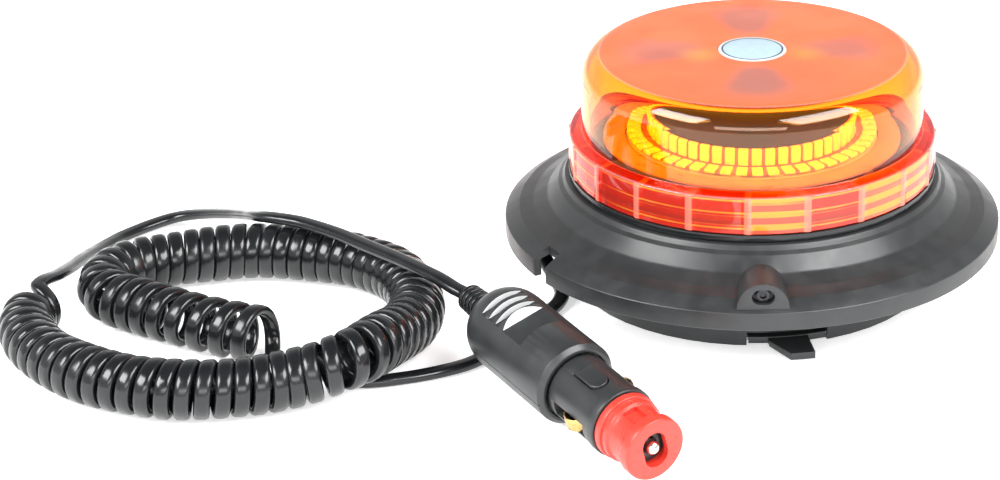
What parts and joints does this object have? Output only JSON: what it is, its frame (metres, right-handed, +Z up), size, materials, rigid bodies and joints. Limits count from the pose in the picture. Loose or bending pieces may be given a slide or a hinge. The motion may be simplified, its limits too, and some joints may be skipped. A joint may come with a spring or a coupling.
{
  "type": "magnetic led warning beacon",
  "caption": "Low round amber warning beacon with a magnetic foot, a curly cord and a 12/24 V lighter plug with a red adapter.",
  "frame": {"origin": "on the floor under the middle of the beacon, where its rubber foot rests", "axes": "+Z up through the lens; -Y towards the hooded boss with the release lever below it; the coiled cord lies on the -X side"},
  "size_m": [0.3099, 0.2218, 0.0752],
  "materials": {
    "black_plastic": "satin moulded",
    "black_rubber": "soft satin",
    "amber_lens": "clear tinted, polished",
    "yellow_optic": "clear tinted",
    "reflector_film": "bright",
    "steel": "zinc plated",
    "nickel": "polished nickel",
    "brass": "rolled strip",
    "aluminium": "bare sheet",
    "red_plastic": "moulded",
    "circuit_board": "solder resist",
    "white_board": "white solder resist",
    "capacitor_sleeve": "shrunk sleeve",
    "ferrite": "sintered",
    "label_film": "printed film",
    "pale_insert": "moulded",
    "fuse_glass": "clear"
  },
  "bodies": {
    "beacon": {"lens_gasket": "black_rubber", "base_housing": "black_plastic", "locking_screw_1": "steel", "locking_screw_2": "steel", "driver_board": "circuit_board", "driver_capacitor": "capacitor_sleeve", "driver_inductor": "ferrite", "heat_sink": "aluminium", "led_board": "white_board", "optic_ring": "yellow_optic", "reflector_plate": "reflector_film", "module_cap": "black_plastic", "wire_clamp": "black_plastic", "magnet_housing": "black_plastic", "magnet_pad": "black_rubber", "ring_magnet": "ferrite", "pole_plate": "steel", "foot_screw_1": "steel", "foot_screw_2": "steel", "foot_screw_3": "steel", "lever_pin": "steel", "cord_grommet": "black_rubber", "cord_lead_beacon": "black_rubber", "cord_coil": "black_rubber", "cord_lead_plug": "black_rubber", "plug_boot": "black_rubber", "plug_grip": "black_plastic", "wire_block": "pale_insert", "plug_barrel": "black_plastic", "plug_nose": "black_plastic", "tip_spring": "steel", "glass_fuse": "fuse_glass"},
    "lens_unit": {"lens": "amber_lens", "top_label": "label_film"},
    "lever": {"release_lever": "black_plastic"},
    "latch": {"plug_latch": "black_plastic"},
    "side_contact_left": {"contact_spring_left": "brass"},
    "side_contact_right": {"contact_spring_right": "brass"},
    "tip": {"tip_contact": "nickel"},
    "adapter": {"adapter_cap": "red_plastic"}
  },
  "joints": [
    {"name": "lens_twist", "type": "hinge", "parent": "beacon", "child": "lens_unit", "pos_m": [0, 0, 0.04], "axis": [0, 0, 1], "range_deg": [0, 18]},
    {"name": "lever_lift", "type": "hinge", "parent": "beacon", "child": "lever", "pos_m": [0.00843, -0.05324, 0.0024], "axis": [-0.9877, -0.1564, 0], "range_deg": [0, 30]},
    {"name": "latch_press", "type": "slide", "parent": "beacon", "child": "latch", "axis": [0.1811, 0.2247, -0.9575], "range_m": [0, 0.0009], "stiffness_N_per_m": 600},
    {"name": "side_contact_left_press", "type": "slide", "parent": "beacon", "child": "side_contact_left", "axis": [0.8115, 0.5158, 0.2745], "range_m": [0, 0.001], "stiffness_N_per_m": 800},
    {"name": "side_contact_right_press", "type": "slide", "parent": "beacon", "child": "side_contact_right", "axis": [-0.8115, -0.5158, -0.2745], "range_m": [0, 0.001], "stiffness_N_per_m": 800},
    {"name": "tip_press", "type": "slide", "parent": "beacon", "child": "tip", "axis": [-0.5555, 0.8267, 0.0889], "range_m": [0, 0.0012], "stiffness_N_per_m": 500},
    {"name": "adapter_pull", "type": "slide", "parent": "beacon", "child": "adapter", "axis": [0.5555, -0.8267, -0.0889], "range_m": [0, 0.0135]}
  ]
}
